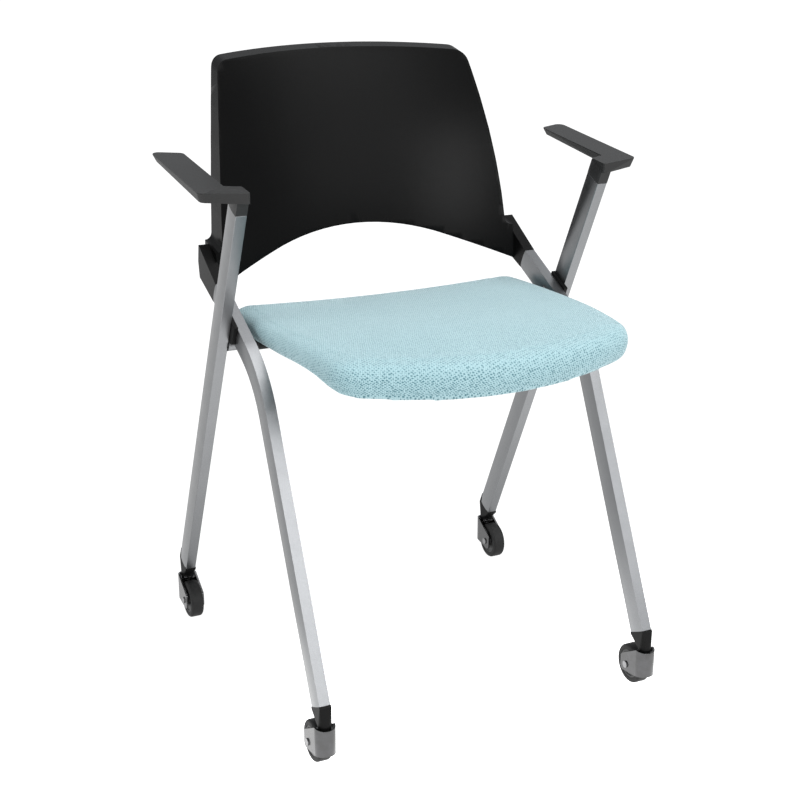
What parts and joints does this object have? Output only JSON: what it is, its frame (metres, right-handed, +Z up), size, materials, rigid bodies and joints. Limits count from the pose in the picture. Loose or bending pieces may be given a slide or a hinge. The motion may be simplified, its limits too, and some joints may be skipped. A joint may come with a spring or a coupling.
{
  "type": "nesting chair",
  "caption": "Nesting chair with crossed tube legs, flip-up upholstered seat, curved plastic back, arm pads and swivel casters.",
  "frame": {"origin": "middle of the chair's outline, on the floor that the four wheels stand on", "axes": "+Z up, +Y to the rear of the chair, +X to the sitter's left; X = 0 is the plane of symmetry"},
  "size_m": [0.5914, 0.5275, 0.7967],
  "materials": {
    "tube_paint": "satin silver powder coat",
    "black_plastic": "fine texture",
    "back_plastic": "satin, fine texture",
    "pad_plastic": "soft matte",
    "seat_fabric": "fine knitted mesh",
    "screw_steel": "zinc plated",
    "fork_steel": "bright zinc",
    "bush_plastic": "natural nylon",
    "hub_plastic": "fine texture",
    "tyre_rubber": "smooth"
  },
  "bodies": {
    "frame": {"front_leg_left": "tube_paint", "front_leg_right": "tube_paint", "rear_leg_left": "tube_paint", "rear_leg_right": "tube_paint", "leg_spacer_left": "black_plastic", "leg_spacer_right": "black_plastic", "spacer_screws": "screw_steel", "cross_tube": "tube_paint", "stop_pins": "screw_steel", "foot_socket_front_left": "black_plastic", "foot_socket_front_right": "black_plastic", "foot_socket_rear_left": "black_plastic", "foot_socket_rear_right": "black_plastic", "backrest_shell": "back_plastic", "back_screws": "screw_steel", "arm_pad_left": "pad_plastic", "arm_pad_right": "pad_plastic", "arm_screws": "screw_steel"},
    "seat": {"seat_pan": "black_plastic", "seat_cushion": "seat_fabric", "hinge_bracket_left": "black_plastic", "hinge_bracket_right": "black_plastic", "hinge_bushes_left": "bush_plastic", "hinge_bushes_right": "bush_plastic", "bracket_screws": "screw_steel"},
    "fork_front_left": {"caster_stem_front_left": "screw_steel", "caster_fork_front_left": "fork_steel", "axle_front_left": "screw_steel"},
    "fork_front_right": {"caster_stem_front_right": "screw_steel", "caster_fork_front_right": "fork_steel", "axle_front_right": "screw_steel"},
    "fork_rear_left": {"caster_stem_rear_left": "screw_steel", "caster_fork_rear_left": "fork_steel", "axle_rear_left": "screw_steel"},
    "fork_rear_right": {"caster_stem_rear_right": "screw_steel", "caster_fork_rear_right": "fork_steel", "axle_rear_right": "screw_steel"},
    "wheel_front_left": {"wheel_hub_front_left": "hub_plastic", "tyre_front_left": "tyre_rubber"},
    "wheel_front_right": {"wheel_hub_front_right": "hub_plastic", "tyre_front_right": "tyre_rubber"},
    "wheel_rear_left": {"wheel_hub_rear_left": "hub_plastic", "tyre_rear_left": "tyre_rubber"},
    "wheel_rear_right": {"wheel_hub_rear_right": "hub_plastic", "tyre_rear_right": "tyre_rubber"}
  },
  "joints": [
    {"name": "seat_flip", "type": "hinge", "parent": "frame", "child": "seat", "pos_m": [0, 0.0382, 0.456], "axis": [-1, 0, 0], "range_deg": [0, 80]},
    {"name": "swivel_front_left", "type": "hinge", "parent": "frame", "child": "fork_front_left", "pos_m": [0.22535, -0.2358, 0.06], "axis": [0, 0, 1], "continuous": true},
    {"name": "swivel_front_right", "type": "hinge", "parent": "frame", "child": "fork_front_right", "pos_m": [-0.22535, -0.2358, 0.06], "axis": [0, 0, 1], "continuous": true},
    {"name": "swivel_rear_left", "type": "hinge", "parent": "frame", "child": "fork_rear_left", "pos_m": [0.24535, 0.2382, 0.06], "axis": [0, 0, 1], "continuous": true},
    {"name": "swivel_rear_right", "type": "hinge", "parent": "frame", "child": "fork_rear_right", "pos_m": [-0.24535, 0.2382, 0.06], "axis": [0, 0, 1], "continuous": true},
    {"name": "roll_front_left", "type": "hinge", "parent": "fork_front_left", "child": "wheel_front_left", "pos_m": [0.22535, -0.2138, 0.026], "axis": [1, 0, 0], "continuous": true},
    {"name": "roll_front_right", "type": "hinge", "parent": "fork_front_right", "child": "wheel_front_right", "pos_m": [-0.22535, -0.2138, 0.026], "axis": [1, 0, 0], "continuous": true},
    {"name": "roll_rear_left", "type": "hinge", "parent": "fork_rear_left", "child": "wheel_rear_left", "pos_m": [0.24535, 0.2162, 0.026], "axis": [1, 0, 0], "continuous": true},
    {"name": "roll_rear_right", "type": "hinge", "parent": "fork_rear_right", "child": "wheel_rear_right", "pos_m": [-0.24535, 0.2162, 0.026], "axis": [1, 0, 0], "continuous": true}
  ]
}
